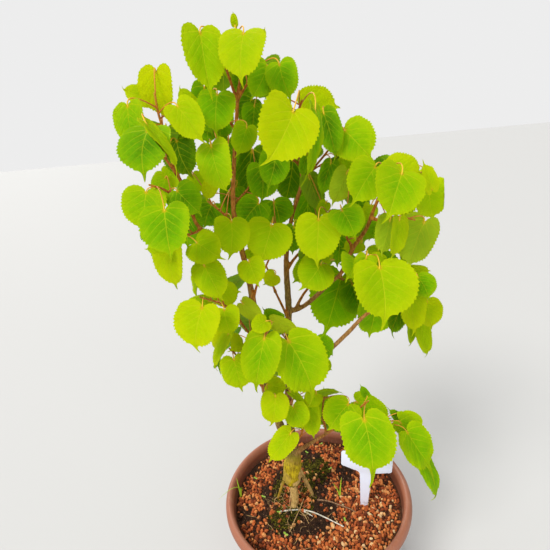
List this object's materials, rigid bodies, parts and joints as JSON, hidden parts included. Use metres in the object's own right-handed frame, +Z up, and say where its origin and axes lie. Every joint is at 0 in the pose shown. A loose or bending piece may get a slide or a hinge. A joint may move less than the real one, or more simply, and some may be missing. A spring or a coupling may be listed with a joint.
{
  "type": "small-leaved lime bonsai in a round pot",
  "caption": "Young small-leaved lime bonsai with heart-shaped leaves on three stems, in a round tapered plastic pot of gravelly soil with a blank plant label.",
  "frame": {"origin": "centre of the pot's flat underside, at the level it stands on", "axes": "+Z up along the pot's axis, -Y towards the side the tree is shown from, +X to that viewer's right"},
  "size_m": [0.3047, 0.2677, 0.6632],
  "materials": {
    "pot_plastic": "satin moulded plastic, terracotta",
    "soil": "loose baked-clay granules over dark compost",
    "bark": "young bark, olive and mossy at the foot",
    "label_plastic": "thin white sheet, blank",
    "dry_stem": "bleached dry stalk",
    "dead_twig": "dead twig",
    "grass": "fresh grass blade",
    "leaf": "fresh spring leaf, soft sheen"
  },
  "bodies": {
    "root": {"pot": "pot_plastic", "soil": "soil", "tree": "bark", "plant_label": "label_plastic", "dry_stalk": "dry_stem", "fallen_twig": "dead_twig", "grass_left": "grass", "grass_right": "grass", "shoot_left_tip": "leaf", "shoot_left_front": "leaf", "shoot_left_middle": "leaf", "shoot_left_hanging": "leaf", "shoot_left_inner": "leaf", "shoot_left_low": "leaf", "shoot_left_bottom": "leaf", "shoot_middle_left": "leaf", "shoot_front": "leaf", "shoot_base_left": "leaf", "shoot_base_front": "leaf", "shoot_base_right": "leaf", "shoot_low_middle": "leaf", "shoot_low_end": "leaf", "shoot_low_right": "leaf", "shoot_right_end": "leaf", "shoot_right_low": "leaf", "shoot_right_back": "leaf", "shoot_middle_right": "leaf", "shoot_middle_back": "leaf", "shoot_middle_top": "leaf", "shoot_right_fork": "leaf", "shoot_crown_right": "leaf", "shoot_crown_right_low": "leaf", "shoot_crown_right_edge": "leaf", "shoot_right_top": "leaf", "shoot_centre_top": "leaf", "shoot_centre": "leaf", "shoot_centre_low": "leaf", "shoot_left_twin": "leaf", "shoot_thin": "leaf", "shoot_left_upper": "leaf", "shoot_left_crown": "leaf", "shoot_crown_left": "leaf", "shoot_top_left": "leaf", "shoot_top": "leaf", "shoot_top_right": "leaf"}
  },
  "joints": []
}
